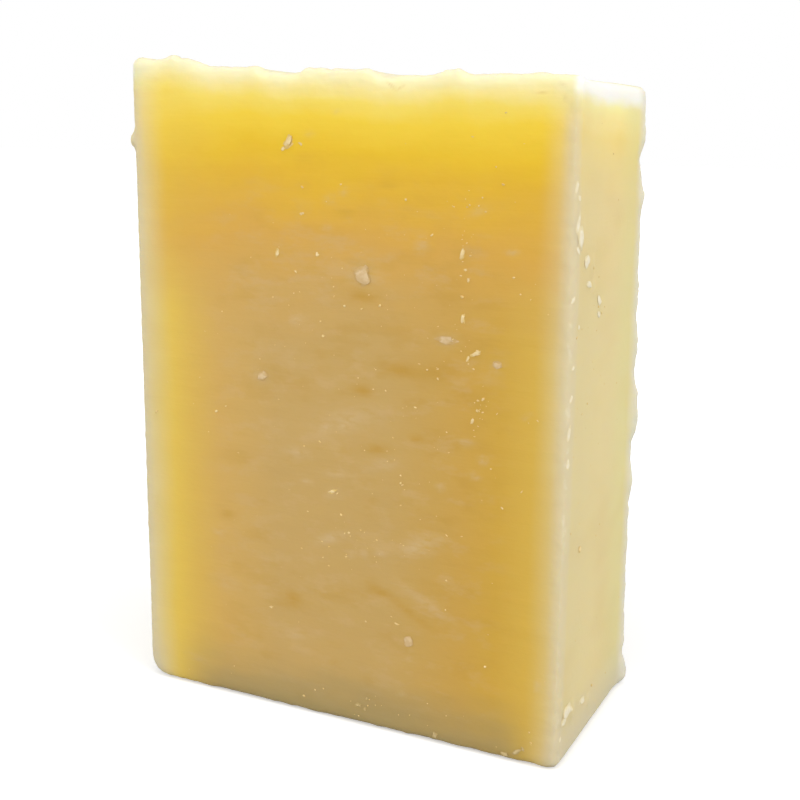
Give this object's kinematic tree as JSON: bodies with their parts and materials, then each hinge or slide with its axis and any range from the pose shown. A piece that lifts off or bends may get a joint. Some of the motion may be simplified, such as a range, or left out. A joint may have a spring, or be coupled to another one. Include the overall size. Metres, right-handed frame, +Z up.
{
  "type": "shampoo bar",
  "caption": "Hand-cut solid shampoo bar, a slab with a ragged poured head, softened edges and crumbs stuck to its faces, standing on its short end.",
  "frame": {"origin": "middle of the foot, the short end that the bar stands on", "axes": "+Z up from the foot to the ragged head, +X along the width of the broad faces, +Y from the front cut face to the back cut face"},
  "size_m": [0.0587, 0.0279, 0.0801],
  "materials": {
    "soap": "waxy satin, slightly translucent"
  },
  "bodies": {
    "root": {"soap_bar": "soap"}
  },
  "joints": []
}
